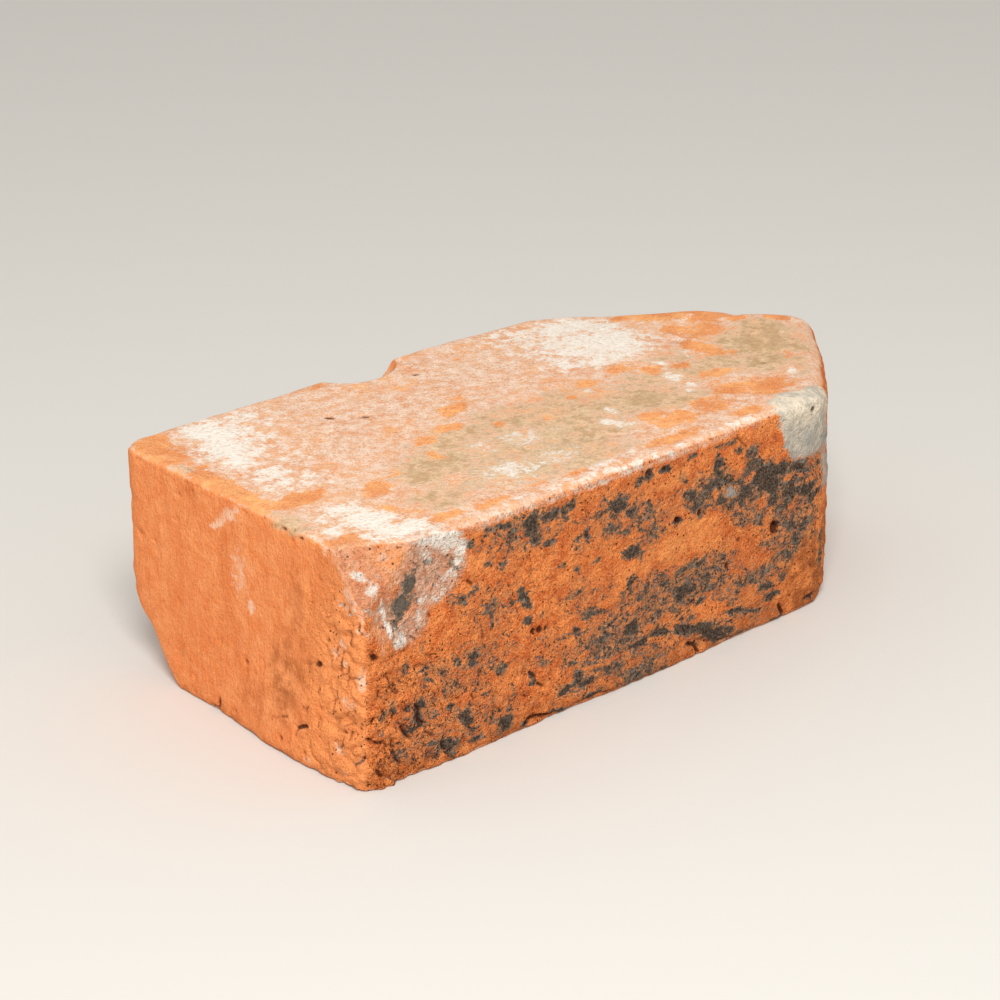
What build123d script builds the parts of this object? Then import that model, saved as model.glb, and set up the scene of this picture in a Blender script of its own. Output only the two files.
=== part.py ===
from build123d import *
from math import sqrt
import os

# A worn clay brick whose one end is cut to a point by two slanted faces.
# Millimetres. Origin under the middle of the bounding box, +X toward the nose,
# +Y toward the rear long face, +Z up.

# Overall sizes
width = 110.0
height = 69.0
front_side = 181.0
rear_side = 172.0

# Worn upright corners, as radii seen from above
square_front_radius = 4.0
square_rear_radius = 8.0
front_shoulder_radius = 24.0
rear_shoulder_radius = 8.0
nose_radius = 10.0

# Worn upper and lower arrises, the upper ones rounder along the slanted faces
upper_arris_radius = 3.0
slanted_arris_radius = 7.5
lower_arris_radius = 1.6

# Corner knocked off where the square end, the front face and the top met
corner_chip_along_front = 24.0
corner_chip_along_end = 13.0
corner_chip_down = 17.0

# Flake lost from the front face beside that corner: an upper and a lower hollow
upper_hollow_from_end = 22.0
upper_hollow_below_top = 10.0
upper_hollow_depth = 2.8
upper_hollow_radius = 42.0
lower_hollow_from_end = 12.0
lower_hollow_below_top = 17.5
lower_hollow_depth = 2.2
lower_hollow_radius = 34.0

# Corner lost under the rear of the square end
foot_chip_along_end = 26.0
foot_chip_up = 25.0
foot_chip_along_rear = 28.0

# Upper corner rubbed off where the rear long face meets its slanted face
shoulder_chip_along_rear = 20.0
shoulder_chip_along_slant = 22.0
shoulder_chip_down = 9.0

# Shallow bite out of the upper rear arris
bite_from_end = 88.0
bite_radius = 18.0
bite_centre_above_top = 8.0
bite_depth_at_top = 11.0

# Places that follow from the sizes above
nose_x = (front_side + rear_side + width) / 2
nose_y = (rear_side + width - front_side) / 2
nose_worn_away = nose_radius * (sqrt(2.0) - 1)
overall_length = nose_x - nose_worn_away


def plan_outline():
    """Outline from above, with its square front corner at the origin."""
    return Polyline(
        (0, 0),
        (front_side, 0),
        (nose_x, nose_y),
        (rear_side, width),
        (0, width),
        close=True,
    )


def upright_edge(body, x, y):
    """The upright edge of the body that stands at this place."""
    edges = body.edges().filter_by(Axis.Z)
    return edges.sort_by_distance((x, y, height / 2))[0]


def rounded_block():
    """The whole body before any piece was knocked off it."""
    body = extrude(make_face(plan_outline()), amount=height)
    corners = (
        (0, 0, square_front_radius),
        (front_side, 0, front_shoulder_radius),
        (nose_x, nose_y, nose_radius),
        (rear_side, width, rear_shoulder_radius),
        (0, width, square_rear_radius),
    )
    for x, y, radius in corners:
        body = fillet(upright_edge(body, x, y), radius)
    upper = body.faces().sort_by(Axis.Z)[-1].edges()
    body = fillet(upper, upper_arris_radius)
    lower = body.faces().sort_by(Axis.Z)[0].edges()
    return fillet(lower, lower_arris_radius)


def slanted_arris_wear():
    """Block as tall as the body, rounded above the slanted faces and wider elsewhere."""
    spare = slanted_arris_radius * 2
    outline = Polyline(
        (-spare, -spare),
        (front_side - spare, -spare),
        (nose_x, nose_y),
        (rear_side - spare, width + spare),
        (-spare, width + spare),
        close=True,
    )
    block = Pos(0, 0, -spare) * extrude(make_face(outline), amount=height + spare)
    block = fillet(upright_edge(block, nose_x, nose_y), nose_radius)
    top = block.faces().sort_by(Axis.Z)[-1]
    slanted = top.edges().sort_by(Axis.X)[-3:]
    return fillet(slanted, slanted_arris_radius)


def wedge(corner, ends):
    """Four-sided solid with one point at a corner and three along its edges."""
    spread = 1.6
    apex = Vector(*corner)
    tips = [Vector(*end) for end in ends]
    centre = (tips[0] + tips[1] + tips[2]) * (1 / 3)
    back = apex + (apex - centre) * spread
    wide = [centre + (tip - centre) * (1 + spread) for tip in tips]
    faces = [
        Face(Wire.make_polygon([wide[0], wide[1], wide[2]])),
        Face(Wire.make_polygon([wide[0], wide[1], back])),
        Face(Wire.make_polygon([wide[1], wide[2], back])),
        Face(Wire.make_polygon([wide[2], wide[0], back])),
    ]
    return Solid(Shell(faces))


def corner_chip():
    """What is missing from the upper front corner of the square end."""
    return wedge(
        (0, 0, height),
        (
            (corner_chip_along_front, 0, height),
            (0, corner_chip_along_end, height),
            (0, 0, height - corner_chip_down),
        ),
    )


def hollow(from_end, below_top, depth, radius):
    """A shallow round hollow in the front face."""
    return Pos(from_end, depth - radius, height - below_top) * Sphere(radius)


def front_flake():
    """The two hollows left by the flake beside the missing corner."""
    upper = hollow(
        upper_hollow_from_end,
        upper_hollow_below_top,
        upper_hollow_depth,
        upper_hollow_radius,
    )
    lower = hollow(
        lower_hollow_from_end,
        lower_hollow_below_top,
        lower_hollow_depth,
        lower_hollow_radius,
    )
    return upper, lower


def foot_chip():
    """What is missing from the lower rear corner of the square end."""
    return wedge(
        (0, width, 0),
        (
            (foot_chip_along_rear, width, 0),
            (0, width - foot_chip_along_end, 0),
            (0, width, foot_chip_up),
        ),
    )


def shoulder_chip():
    """What is rubbed off the upper corner between the rear and its slanted face."""
    step = shoulder_chip_along_slant / sqrt(2.0)
    return wedge(
        (rear_side, width, height),
        (
            (rear_side - shoulder_chip_along_rear, width, height),
            (rear_side + step, width - step, height),
            (rear_side, width, height - shoulder_chip_down),
        ),
    )


def arris_bite():
    """The round bite missing from the upper rear arris."""
    across = sqrt(bite_radius**2 - bite_centre_above_top**2)
    centre = (
        bite_from_end,
        width - bite_depth_at_top + across,
        height + bite_centre_above_top,
    )
    return Pos(*centre) * Sphere(bite_radius)


def brick():
    """The finished body, moved into the shared frame."""
    body = rounded_block() & slanted_arris_wear()
    chips = (corner_chip(), *front_flake(), foot_chip(), shoulder_chip(), arris_bite())
    for lost in chips:
        body = body - lost
    return Pos(-overall_length / 2, -width / 2, 0) * body


os.makedirs("parts", exist_ok=True)
export_step(brick(), "parts/brick.step")
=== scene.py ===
import math
import bpy
import numpy as np
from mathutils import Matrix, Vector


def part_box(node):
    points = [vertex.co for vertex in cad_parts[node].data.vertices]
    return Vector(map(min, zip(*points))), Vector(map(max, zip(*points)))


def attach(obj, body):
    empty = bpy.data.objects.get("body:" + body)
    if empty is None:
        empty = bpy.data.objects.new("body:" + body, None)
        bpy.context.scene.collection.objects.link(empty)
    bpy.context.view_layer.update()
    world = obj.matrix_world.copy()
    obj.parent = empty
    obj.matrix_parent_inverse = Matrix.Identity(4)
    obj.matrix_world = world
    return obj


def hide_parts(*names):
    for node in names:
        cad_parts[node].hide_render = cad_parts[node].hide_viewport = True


# The worn clay brick. Places on it are in millimetres: along from the square end,
# across from the front long face, and up from the underside.

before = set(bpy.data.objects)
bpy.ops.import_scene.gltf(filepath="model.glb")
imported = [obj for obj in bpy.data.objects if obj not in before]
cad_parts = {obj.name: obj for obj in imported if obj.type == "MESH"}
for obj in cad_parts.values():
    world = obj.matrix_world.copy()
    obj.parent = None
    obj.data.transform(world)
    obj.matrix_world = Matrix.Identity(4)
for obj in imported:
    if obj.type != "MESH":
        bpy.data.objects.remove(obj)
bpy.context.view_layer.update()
low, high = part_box("brick")
LENGTH = (high[0] - low[0]) * 1000
WIDTH = (high[1] - low[1]) * 1000
HEIGHT = (high[2] - low[2]) * 1000
FRONT_SIDE = 181.0
REAR_SIDE = 172.0
VOXEL = 0.0007
MOST_TRIANGLES = 194000

# The broken front corner: what is lost along, across and down, and the two hollows
CORNER_LOST = (24, 13, 17)
UPPER_HOLLOW = (23, 60)
LOWER_HOLLOW = (15, 51)

# Large odd numbers that scramble the cells of the noise, and the bits kept of the sum
CELL_STEPS = (374761393, 668265263, 2147483647)
SEED_STEP = 144665
SCRAMBLE = 1274126177
LOW_BITS = 0xFFFFFFFF
RANDOM_BITS = 0xFFFFFF

# Camera, from the perspective of the photograph
EYE = (-0.5180, -0.5572, 0.3673)
EYE_DOWN = 23.556
EYE_TURN = -42.0
EYE_LENS = 99.25

# Light: an even sky, and one lamp in front of the brick on the left
SKY_STRENGTH = 0.62
LAMP_PLACE = (-0.56, -0.67, 0.95)
LAMP_POWER = 11.9
LAMP_SIZE = 0.4
LAMP_AIM = (0, 0, 0.03)
FLOOR_REACH = 6.0


def srgb(red, green, blue):
    """A colour as a picture states it, 0 to 255, turned into light values."""
    out = []
    for value in (red, green, blue):
        v = value / 255
        out.append(v / 12.92 if v <= 0.04045 else ((v + 0.055) / 1.055) ** 2.4)
    return (*out, 1.0)


def ramp(x, start, end):
    """Nought before start, one after end, and an S-shaped rise between."""
    t = np.clip((x - start) / (end - start), 0, 1)
    return t * t * (3 - 2 * t)


def hashed(cell, seed):
    """A steady random number from 0 to 1 for each whole-number cell."""
    c = cell.astype(np.int64)
    h = sum(c[..., axis] * step for axis, step in enumerate(CELL_STEPS))
    h = (h + seed * SEED_STEP) & LOW_BITS
    h = ((h ^ (h >> 13)) * SCRAMBLE) & LOW_BITS
    h = (h ^ (h >> 16)) & RANDOM_BITS
    return h / float(RANDOM_BITS)


def noise(place, size, seed):
    """Smooth noise from -1 to 1. size is the distance between bumps, or one per axis."""
    q = place / np.asarray(size, float)
    base = np.floor(q)
    f = q - base
    f = f * f * f * (f * (f * 6 - 15) + 10)
    total = np.zeros(len(place))
    for corner in np.ndindex(2, 2, 2):
        c = np.array(corner)
        weight = np.prod(np.where(c, f, 1 - f), axis=1)
        total += weight * hashed(base + c, seed)
    return total * 2 - 1


def fractal(place, size, seed, octaves=3, rough=0.5):
    """Several layers of noise, each finer and fainter than the last."""
    size = np.asarray(size, float)
    total = np.zeros(len(place))
    strength = 1.0
    full = 0.0
    for octave in range(octaves):
        total += strength * noise(place, size / 2**octave, seed + 17 * octave)
        full += strength
        strength *= rough
    return total / full


def listed(groups):
    """Places grouped by cover or depth, as one list with tilt and cover or depth last."""
    out = []
    for strength, places in groups.items():
        for x, y, half_a, half_b, *tilt in places:
            out.append((x, y, half_a, half_b, tilt[0] if tilt else 0, strength))
    return out


# Sooty patches on the front face by cover: along, up, half length, half height, any tilt
FRONT_SOOT = listed({
    1: [(57.4, 33.2, 2.2, 1.2, 5), (80.4, 52, 1.3, 2, 10)],
    0.95: [(19.4, 21.6, 1.4, 2), (104, 64, 1.8, 1.4), (151, 50.2, 6, 3.6), (158, 50, 6.6, 2.8, -8),
        (126.6, 8.6, 7, 1.6, -8), (132.8, 5, 6.8, 2.1, -14)],
    0.94: [(154.2, 46, 5, 2.8)],
    0.92: [(14.4, 51.4, 3.8, 2.8, 55), (110.2, 63.6, 2.4, 1.1, -10)],
    0.9: [(17.6, 56.6, 3.2, 2.6, 60), (56, 42.4, 1.6, 3.2, 20), (58.4, 38.8, 1.5, 2.4, 10),
        (49.2, 4.4, 3.2, 2.3), (116.6, 46.6, 2, 1.3, -15), (98, 18.6, 3.6, 2.2, 10), (101, 12.4, 6, 1.1, 8),
        (79.8, 7.4, 3, 1.4, 10), (132.6, 58.2, 1.9, 4.6, 12), (144, 47, 4, 2.8), (171.6, 41, 4.4, 2.6),
        (154.6, 13.6, 3.4, 1.9, -10), (139.2, 4, 3.2, 1.9)],
    0.88: [(59.5, 61.5, 3, 4, 10), (34.6, 12.2, 2.6, 3.3, 20), (28.4, 5.2, 4.2, 2.5, -25),
        (92.5, 58, 5, 3, -15), (97, 54.4, 2.6, 2, -20), (98.4, 42, 3.8, 2.3, -5), (109, 13, 7, 0.9, -6),
        (156, 41, 2.8, 3), (141.4, 9.4, 5, 1.1, -12)],
    0.85: [(50, 64.4, 4.6, 1.3, -12), (18.6, 17.2, 1.8, 3.4, 10), (17, 14.2, 2.2, 1.3),
        (38.2, 3.8, 2.8, 1.1, 10), (77, 24, 1.1, 2, 20), (97.8, 32.6, 1.6, 2.3, -20),
        (121.4, 64.7, 2.2, 0.8), (118.2, 23, 5, 3.4), (72.2, 7.4, 3, 1.2, 15), (118.4, 10.8, 5, 1.7, -8),
        (70, 1.4, 3.4, 0.9, -5), (56.8, 1.8, 2.4, 0.7), (134.4, 47.8, 3, 1.8, -20), (166, 49.4, 5.6, 2.4),
        (176.2, 38.6, 1.9, 1.4), (173, 37.2, 2.4, 1.6), (141.2, 61.7, 2, 0.8), (164.4, 31.2, 3.2, 2.3, -20),
        (167.2, 22.6, 1.5, 1.9, 20), (126.2, 18, 2.4, 1.5), (136, 1.8, 3.4, 1), (149, 7, 4, 1, -15),
        (157, 9.4, 4.2, 1.2, 5), (159.4, 0.8, 3, 0.7)],
    0.82: [(38.2, 28.8, 2.6, 3, 10), (73.2, 63, 3.4, 1.6, 30), (101, 63, 1.5, 1.5)],
    0.8: [(44, 64.6, 2.6, 1.4), (60.6, 57, 2.4, 2.6), (66, 62.6, 5, 1.8, -12), (118.5, 30.2, 4.4, 1.2, 8),
        (76.6, 9.6, 2.4, 2), (93.6, 7.6, 1.8, 3, 20), (82.5, 2, 4, 1, 5), (130, 53, 5, 2.6),
        (136.4, 53.4, 4, 2.2), (163.4, 42.4, 5.6, 3.6), (122, 23.4, 3, 2.4)],
    0.78: [(121.5, 53, 2.8, 2.2), (123.4, 48.8, 3.2, 1.8)],
    0.76: [(160.4, 37.8, 3.6, 1.9)],
    0.75: [(19.6, 60, 2.2, 0.8, 50), (12, 47.4, 2.2, 1.4, 60), (24, 61, 2.4, 1, -10), (37, 62.5, 2.2, 1.4),
        (45.2, 38, 0.9, 2.8), (29, 17, 1.2, 1.1), (77, 42.6, 1.4, 1.5), (84.4, 43.4, 1.5, 0.8),
        (76.4, 36, 4.4, 1.2, 8), (90.2, 8.4, 4.6, 1.8, 5), (170.4, 46.6, 4.6, 1.8), (166.2, 26, 2.8, 1.8),
        (163.4, 20.6, 2.8, 1.4, -10), (124.4, 30.2, 5, 1.4), (175.2, 3.4, 3, 0.8, 5)],
    0.74: [(147, 55, 4.6, 2.8), (170.2, 29.4, 3, 2.8)],
    0.72: [(32.6, 29, 1.8, 2.6), (66.6, 54.5, 2.6, 1.3), (98, 3, 4.6, 3)],
    0.7: [(53, 62.6, 2.8, 0.9, -45), (34.6, 47, 2, 1.8), (21.4, 31.4, 1.6, 0.8), (47.6, 22.5, 3, 1.7, -15),
        (24, 8, 2.2, 0.9, -10), (71.4, 46, 1.8, 0.8), (63.8, 33.4, 1.5, 0.8, 10), (102, 40, 2.2, 1.4),
        (75.8, 14.5, 2, 0.7), (59.6, 15.4, 1, 2.6, 30), (126, 51.6, 4.6, 3.2), (146.4, 59.2, 3.6, 2.4, 20),
        (121, 19.2, 2.2, 1.6), (144.4, 1, 4, 0.7)],
    0.68: [(82, 28, 3.6, 1.3, -5), (159, 22, 3.8, 1.7)],
    0.65: [(94, 49.4, 3, 0.9), (151.4, 17, 3.8, 2.1), (179, 22.2, 1.8, 2)],
    0.64: [(88, 18, 5.4, 2.8), (122.4, 13.4, 2.6, 1.2)],
    0.62: [(33, 58.4, 2.6, 2.2, 60), (104.2, 53, 2.4, 4.6), (105, 3.4, 6, 3.2), (101.6, 9, 4, 0.8),
        (176, 47, 2.2, 2.6), (150.4, 36.8, 3, 2.8), (127.2, 25, 6, 2.6, -10), (130.4, 21.8, 4, 2)],
    0.6: [(18.6, 52.4, 2, 2), (43.5, 55.3, 2.6, 1.2, -35), (53.4, 40.6, 1.6, 0.8), (26.2, 28.2, 2.2, 1.4),
        (43, 16.5, 2.6, 0.9), (38, 18.4, 1.5, 1.1), (46, 6.8, 1.6, 0.9, -20), (11.6, 8, 1.2, 3, -20),
        (7, 21.6, 1.8, 1.5), (10.2, 23, 1.6, 2), (81.2, 37.5, 1.8, 0.7, 20), (64.6, 18.4, 3.4, 1.9),
        (87.8, 60.6, 2, 0.9, -35), (94.4, 29.6, 1.8, 1.2), (111, 5.8, 6, 1.3, 5), (135, 64.5, 5, 0.6),
        (144.4, 37.6, 3.8, 2.2, -10), (179.6, 14, 1.6, 4.4)],
    0.58: [(45.4, 42, 3.4, 2.6), (81.2, 17.6, 3, 1.6)],
    0.56: [(155, 46, 27, 10, -5), (90, 51.2, 5, 2.4), (105, 47.4, 3.2, 3), (85, 13.6, 9, 3),
        (95, 14.4, 6, 2.6)],
    0.55: [(55, 66, 3, 0.8, 8), (49, 52.8, 2.6, 1, 15), (31.5, 48.5, 2.6, 1.8), (21.6, 27.8, 1.6, 2),
        (23.2, 17.4, 2.6, 2.6), (52.2, 13, 1, 3), (51, 8.4, 1.4, 2.4), (118.2, 58.8, 1.8, 2.6, 20),
        (113, 27.2, 8, 2.6), (156, 27.4, 6, 1.9), (143, 16.8, 5.6, 2)],
    0.54: [(127, 25, 16, 8)],
    0.52: [(108, 27, 14, 6), (133, 17.6, 2.4, 1.4)],
    0.5: [(100, 20, 29, 9, 3), (148, 17, 15, 5.5), (38.5, 48.6, 2.2, 1.4), (14, 33, 2, 2.6),
        (77, 51.4, 2.8, 3.2), (107.2, 42.8, 3, 3), (125, 46.4, 3, 2.2), (143.4, 23.4, 2.4, 0.8),
        (135.4, 24.2, 2.8, 1.8), (161, 14.6, 3.2, 2.6)],
    0.48: [(130, 52, 14, 7), (165, 31, 13, 12), (160, 22, 12, 6)],
    0.45: [(47.5, 60.8, 3, 1.8), (100, 28, 11, 2.4, 2), (92, 24, 6, 2.8)],
    0.43: [(97, 7, 28, 6)],
    0.42: [(135, 6.5, 22, 5, -8), (30.5, 23.4, 5, 3), (70, 58, 3, 2.2), (106, 19.4, 4.2, 1.4)],
    0.4: [(26, 56.6, 3, 2.2), (94, 54, 15, 8, -10), (56, 60, 17, 7), (19, 18, 8, 9), (105, 48, 10, 9),
        (20.6, 38.6, 0.9, 3.6), (5.4, 17.4, 2, 2)],
    0.34: [(30, 9, 26, 8)],
    0.32: [(34, 26, 25, 9)],
    0.3: [(19, 45, 1.8, 1.8)],
    0.28: [(48, 42, 14, 8), (80, 33, 12, 8)],
    0.25: [(66, 22, 12, 8)],
})

# Bare clay inside the sooty part of the front face, same form
FRONT_BARE = listed({
    1: [(97.6, 58, 1.3, 1.2)],
    0.9: [(151.6, 42, 1.8, 1.7), (172.6, 42.6, 2.2, 1.2, -15), (153, 57, 2.2, 1.5, -20), (118, 38, 9, 5, -5),
        (131.4, 50.2, 0.9, 1.8, 20)],
    0.8: [(163, 46.2, 1.3, 1.3), (147, 51.4, 1.8, 1.1, 10), (158, 53.6, 1.8, 1.2), (131, 40, 6, 4, -25),
        (145, 27, 3, 2.4, -20), (147, 13.6, 3, 2), (145, 4.4, 4.6, 1.2, -10), (171, 17, 4.6, 5),
        (154, 23, 3.4, 2.2)],
    0.7: [(140, 56.5, 3, 2.2), (98, 46.6, 4, 1), (129, 13, 4, 1.4), (168, 8, 6, 3.4), (98, 7, 4.4, 1)],
    0.6: [(98, 24.5, 4, 0.7), (86, 5, 3.4, 1.6), (112, 16.6, 3.4, 1.4), (104, 16.4, 2.2, 1.2),
        (165.2, 37, 1.5, 1.5)],
    0.5: [(86, 38, 4.6, 3.2)],
})

# Brighter clay on the front face, same form
FRONT_GLOW = listed({
    0.85: [(118, 40, 14, 6, -5)],
    0.6: [(112, 58.5, 10, 2.4), (101, 36, 7, 3)],
    0.5: [(131, 40, 6, 4, -25), (40, 57, 4, 2.6), (120, 61, 12, 1.6, 5)],
    0.4: [(41, 51, 4, 2.4), (144, 43, 3, 2), (98, 62, 6, 1.4), (176, 33, 4, 3)],
    0.3: [(67, 43, 5, 3)],
    0.2: [(172, 18, 5, 3)],
})

# Lime and grey film on the broken corner, read along the front face, same form
CORNER_LIME = listed({
    0.9: [(27, 67.5, 7, 3.4), (30, 64.5, 4, 2.4, -20), (34.6, 62.4, 2, 3.6), (8.6, 50, 0.8, 3.4, 14),
        (10, 45.6, 0.8, 3, -4)],
    0.85: [(11.4, 41.6, 1, 2, -20)],
    0.8: [(5.4, 59, 1.4, 3, -38), (7, 54.6, 0.9, 2.4, -20)],
    0.7: [(3.4, 62, 2.6, 1.4, -30)],
    0.66: [(13, 43, 3.2, 2.4, 60)],
    0.6: [(33, 57, 2.6, 3.4, -50), (22, 50.6, 2.2, 1.8)],
    0.5: [(20.5, 47.4, 5.4, 2.4, 40), (6.4, 51.4, 3.4, 3.2), (25, 64, 4, 4)],
    0.42: [(28, 52, 6, 2.4, 38)],
    0.4: [(1.6, 53.4, 3, 2.6)],
    0.3: [(2, 47, 2, 2)],
})
CORNER_ORANGE = listed({
    1: [(13.4, 65, 4.6, 5)],
    0.95: [(5.6, 46.6, 2.2, 5.4, 12)],
    0.9: [(11.6, 57.6, 2.4, 4.4, -25)],
    0.7: [(16.8, 49, 1.8, 1, 30)],
})

# White lime on the top by cover: along, across, half length, half width, any tilt
TOP_LIME = listed({
    1: [(25, 98, 8, 9)],
    0.95: [(21, 85, 9, 11), (25.5, 9.5, 5, 5)],
    0.92: [(163, 76, 13, 13), (160, 95, 13, 9)],
    0.9: [(18.5, 21, 7, 11), (19, 10, 8, 5)],
    0.85: [(18, 75, 6.5, 7), (17, 30, 6, 4), (168, 88, 8, 12), (186, 20.6, 3, 1.6, 40)],
    0.8: [(152, 80, 17, 14), (155, 66, 18, 6), (115, 26, 2.6, 4.6, 20), (151, 30, 1.6, 2.8, 30),
        (153.6, 41.6, 2, 1.6, 20), (156.6, 40, 2.4, 1.4, -20)],
    0.75: [(7, 20.5, 3.2, 4, 45), (154, 33, 1.6, 2.4, -20), (160, 51.5, 1.6, 3, 15)],
    0.7: [(27, 3, 4, 4), (156, 43.6, 3.4, 0.9, 10)],
    0.66: [(18, 63, 8, 6), (146, 97, 12, 9)],
    0.65: [(122, 34, 2, 3.6, -20), (153.4, 37.4, 1.4, 2.2)],
    0.64: [(137, 72, 8, 9)],
    0.62: [(16, 54, 7, 5)],
    0.6: [(36, 100, 9, 6), (32, 88, 8, 12), (9, 27, 2.2, 3.4), (141, 104, 10, 4), (118, 22, 2.4, 2),
        (157, 47, 2, 1.4), (127.4, 50, 2.4, 2), (140, 2.6, 5, 2.4)],
    0.56: [(70, 19, 13, 8)],
    0.55: [(25.5, 50, 4, 8), (172, 52, 2.6, 3), (194, 73.4, 2.8, 1.8, 20)],
    0.5: [(35, 65, 4, 4), (75, 37, 5, 7), (87, 35, 8, 5.6), (94, 4.4, 12, 3.6), (148, 2, 4, 3)],
    0.45: [(77, 4, 9, 2.6), (60, 4, 8, 1.8)],
    0.44: [(86, 19, 10, 7)],
    0.42: [(40, 96, 9, 9)],
    0.4: [(30, 70, 7, 7), (29, 57, 4, 4), (133, 88, 7, 12), (100, 33, 6, 3), (106, 6.4, 5, 3),
        (119, 2, 6, 1.6)],
    0.3: [(58, 33, 3, 2)],
})

# Pinkish beige film on the top, same form
TOP_VEIL = listed({
    0.86: [(110, 86, 24, 20), (106, 68, 20, 8)],
    0.76: [(126, 70, 9, 9)],
    0.72: [(50, 86, 24, 18), (131, 96, 10, 10)],
    0.66: [(175, 84, 5, 8)],
    0.58: [(76, 82, 18, 15)],
    0.5: [(42, 20, 11, 9), (56, 17, 6, 5), (33, 46, 5, 4), (60, 95, 20, 10)],
    0.45: [(42, 62, 15, 8)],
})

# Olive film on the top, same form
TOP_OLIVE = listed({
    0.95: [(197, 45, 14, 13)],
    0.92: [(136, 34, 12, 8)],
    0.9: [(206, 52, 7, 9)],
    0.85: [(50, 34, 8, 7), (110, 25, 8, 7), (186, 32, 10, 7)],
    0.8: [(60, 37, 14, 9), (72, 20, 19, 10), (141, 26, 12, 4), (202, 33, 6, 6, 45)],
    0.78: [(95, 22, 16, 11)],
    0.76: [(106, 34, 14, 12)],
    0.74: [(76, 46, 18, 8), (174, 40, 12, 7), (126, 37, 12, 10)],
    0.7: [(97, 49, 14, 8), (192, 23, 8, 3, 45), (44, 19, 9, 7), (82, 32, 26, 11)],
    0.66: [(112, 44, 16, 11)],
    0.6: [(146, 44, 9, 6), (88, 12, 22, 5)],
    0.55: [(162, 41, 10, 9)],
    0.5: [(122, 50, 12, 7), (166, 52, 8, 6)],
})

# Bare orange clay showing through the films on the top, same form
TOP_BARE = listed({
    1: [(13, 43, 9, 4.6), (179, 52, 4.6, 8), (184, 70, 4, 4), (201, 73, 7, 8), (190, 82, 11, 6, -30),
        (181, 89, 5, 3), (217, 56, 5, 5), (4, 95, 6, 12), (8, 104, 7, 3.6), (2.6, 62, 5, 22), (4, 9, 5, 8)],
    0.95: [(34, 35, 5.6, 4.6)],
    0.9: [(27, 22, 2.4, 4), (131, 54, 5, 2.8, -10), (147, 56.4, 5, 3.4), (154, 49.6, 4, 5),
        (163, 45.4, 4, 2.4, 20), (128, 22, 5, 3.6), (120, 6.4, 10, 3), (170, 17, 9, 6.6),
        (206, 64, 5, 3.6, 30), (7.6, 13.6, 2.6, 4.6)],
    0.85: [(66, 52, 5, 3), (78, 55.4, 6, 3), (88, 65, 8, 3.6, 15), (132, 16, 9, 5.4), (190, 62, 8, 6)],
    0.8: [(35, 8, 7, 2.6), (50, 7, 8, 2.2), (61, 42, 2.2, 4), (90, 47, 2.8, 2.4), (82, 6.4, 5, 1.8),
        (160, 21, 6, 6), (167, 34.4, 7, 3.6), (70, 106, 4.6, 2.4), (28, 105.6, 2.4, 2.2), (150, 6, 7, 4)],
    0.7: [(95, 70, 3.4, 3, 40), (130, 46, 3.4, 1.6), (121, 49, 3, 2.4), (147, 16.4, 9, 7.6),
        (183, 43.6, 3, 2.4), (12, 67, 2.8, 1.4), (196, 31, 4, 2.4, 45)],
    0.6: [(104, 42, 2.8, 2.6), (88, 88, 4, 2.6), (79, 97, 3.4, 3), (100, 100, 2, 5), (68, 7.6, 3.6, 1.4)],
    0.5: [(115, 94, 4, 2.4)],
    0.4: [(128, 79, 3, 1.6, 30), (45, 40, 6, 3)],
})

# Paler scuffs on the square end by cover: across, up, half width, half height, any tilt
END_PALE = listed({
    0.75: [(63.4, 58.6, 4.4, 1, -25), (0.6, 33.4, 3, 3.6)],
    0.7: [(49, 38.6, 1.8, 2.4)],
    0.62: [(57.6, 63.6, 4.6, 3, -20)],
    0.6: [(60.6, 61.2, 3, 1.6, -30), (8.6, 42.4, 2.6, 2), (3.4, 57.6, 4, 2.4)],
    0.5: [(54.6, 66, 2.6, 1.4), (7.6, 37.8, 2.2, 1.2), (12.4, 38.4, 2.2, 1.6), (15.4, 67, 1.6, 1.6)],
    0.45: [(6.4, 26, 4, 2.2), (22.4, 2.6, 2.2, 1.4), (9.6, 10.6, 3.4, 1.6, 15), (4, 8.4, 3, 1, -35)],
    0.4: [(54, 48, 5, 8), (8.4, 4, 2.2, 1.2), (2, 50, 1.6, 4)],
    0.3: [(30, 68, 5, 1.6)],
    0.2: [(54, 33, 2.4, 10)],
    0.14: [(78, 32, 3, 9)],
})

# Dull brown places on the square end, same form
END_BROWN = listed({
    0.75: [(33, 23, 7, 12)],
    0.6: [(12, 19, 2.6, 2.6)],
    0.5: [(30, 68.4, 5, 1.2)],
    0.45: [(28, 45, 4, 11)],
    0.4: [(10, 3, 12, 2.6)],
    0.35: [(22.4, 31, 3.4, 2.2), (6, 13, 7, 5)],
    0.3: [(44, 12, 10, 6), (24, 10, 3, 7)],
    0.25: [(74, 66, 5, 3)],
})

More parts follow.
